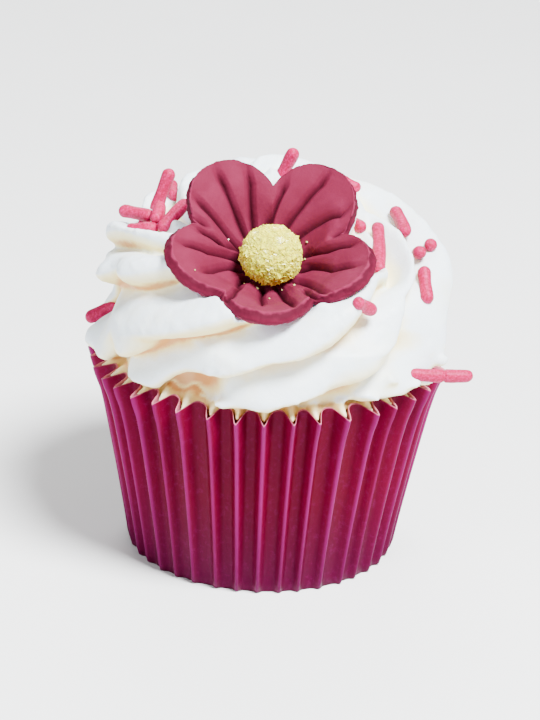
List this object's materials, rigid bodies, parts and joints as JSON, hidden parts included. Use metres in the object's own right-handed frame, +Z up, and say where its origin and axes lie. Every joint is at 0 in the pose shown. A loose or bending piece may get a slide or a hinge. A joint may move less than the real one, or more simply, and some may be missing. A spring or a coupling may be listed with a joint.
{
  "type": "cupcake",
  "caption": "Small cupcake in a pleated paper case, with a piped swirl of icing, sugar strands and a five-petalled sugar flower.",
  "frame": {"origin": "centre of the flat base of the paper case", "axes": "+Z up, away from the base, and -Y towards the side that the flower leans to"},
  "size_m": [0.0509, 0.0487, 0.0545],
  "materials": {
    "case_paper": "waxed pleated paper, magenta",
    "sponge": "open crumb, pale golden",
    "buttercream": "soft satin, off-white, with pink sugar strands",
    "sugar_paste": "matt, dusky pink",
    "sugar_ball": "coated in coarse yellow sugar"
  },
  "bodies": {
    "root": {"paper_case": "case_paper", "sponge": "sponge", "icing": "buttercream", "flower": "sugar_paste", "flower_centre": "sugar_ball"}
  },
  "joints": []
}
